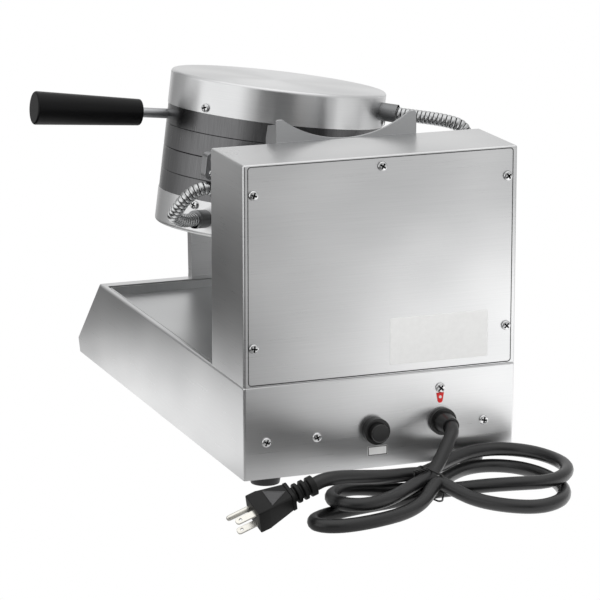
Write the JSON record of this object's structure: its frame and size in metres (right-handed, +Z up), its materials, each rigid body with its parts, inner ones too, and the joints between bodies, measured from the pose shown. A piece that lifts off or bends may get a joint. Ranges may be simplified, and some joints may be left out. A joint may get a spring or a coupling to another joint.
{
  "type": "waffle cone maker",
  "caption": "Electric waffle cone baker: a round two-plate iron in a flip-over head above a drip tray, on a stainless base with a rear tower and a tied mains cord.",
  "frame": {"origin": "on the counter, under the middle of the base's footprint", "axes": "+Z up, +Y towards the rear where the cord leaves, +X to the operator's right where the handle is"},
  "size_m": [0.3761, 0.6217, 0.3174],
  "materials": {
    "stainless_sheet": "brushed",
    "cast_plate": "satin",
    "bright_steel": "polished",
    "conduit_steel": "polished",
    "fitting_grey": "satin",
    "bearing_bronze": "satin",
    "black_phenolic": "gloss",
    "black_plastic": "satin",
    "black_rubber": "matt",
    "plug_brass": "plated",
    "white_plate": "matt",
    "lamp_amber": "gloss",
    "mineral_wool": "matt"
  },
  "bodies": {
    "base": {"base_shell": "stainless_sheet", "bottom_plate": "stainless_sheet", "feet": "black_rubber", "base_bolts": "bright_steel", "tray_rails": "stainless_sheet", "tower_shell": "stainless_sheet", "rear_panel": "stainless_sheet", "rear_screws": "bright_steel", "blank_plates": "white_plate", "rear_chassis": "stainless_sheet", "reset_bezel": "black_plastic", "base_electrics": "black_plastic", "cord_gland": "black_plastic", "rocker_frame": "black_plastic", "thermostat_body": "black_plastic", "pilot_lamp": "lamp_amber", "bearing_bracket": "stainless_sheet", "rear_bush": "bearing_bronze", "front_post": "stainless_sheet", "front_bush": "bearing_bronze", "cord_lead": "black_rubber", "cord_hank": "black_rubber", "cord_tail": "black_rubber", "cord_tie": "black_plastic", "plug_body": "black_rubber", "plug_blades": "plug_brass"},
    "tray": {"drip_tray": "stainless_sheet"},
    "head": {"lower_shell": "stainless_sheet", "lower_housing": "cast_plate", "lower_grid": "cast_plate", "lower_heater": "bright_steel", "lower_insulation": "mineral_wool", "lower_fasteners": "bright_steel", "lower_socket": "fitting_grey", "lower_conduit": "conduit_steel", "lower_hinge_lug": "cast_plate", "hinge_pin": "bright_steel", "yoke": "cast_plate", "yoke_fasteners": "bright_steel", "junction_box": "cast_plate", "junction_cover": "stainless_sheet", "box_elbows": "fitting_grey", "flip_shaft": "bright_steel", "shaft_collar": "bright_steel", "front_trunnion": "cast_plate", "upper_conduit": "conduit_steel"},
    "lid": {"upper_shell": "stainless_sheet", "upper_housing": "cast_plate", "upper_grid": "cast_plate", "upper_heater": "bright_steel", "upper_insulation": "mineral_wool", "upper_fasteners": "bright_steel", "upper_socket": "fitting_grey", "upper_hinge_lugs": "cast_plate", "handle_rod": "bright_steel", "handle_grip": "black_phenolic"},
    "reset": {"reset_button": "black_plastic"},
    "rocker": {"power_rocker": "black_plastic"},
    "knob": {"thermostat_knob": "black_phenolic"}
  },
  "joints": [
    {"name": "head_flip", "type": "hinge", "parent": "base", "child": "head", "pos_m": [0, -0.035, 0.234], "axis": [0, -0.999, -0.0436], "range_deg": [0, 163.8]},
    {"name": "lid_open", "type": "hinge", "parent": "head", "child": "lid", "pos_m": [-0.11029, -0.03432, 0.21832], "axis": [0, 0.999, 0.0436], "range_deg": [-95, 0], "deforming": ["upper_conduit"]},
    {"name": "tray_lift", "type": "slide", "parent": "base", "child": "tray", "axis": [0, 0, 1], "range_m": [0, 0.025]},
    {"name": "reset_press", "type": "slide", "parent": "base", "child": "reset", "axis": [0, -1, 0], "range_m": [0, 0.003], "stiffness_N_per_m": 400},
    {"name": "power_switch", "type": "hinge", "parent": "base", "child": "rocker", "pos_m": [-0.062, -0.20027, 0.0577], "axis": [-1, 0, 0], "range_deg": [0, 16]},
    {"name": "thermostat_turn", "type": "hinge", "parent": "base", "child": "knob", "pos_m": [0, -0.202, 0.0595], "axis": [0, 0.6919, -0.722], "range_deg": [0, 270]}
  ]
}
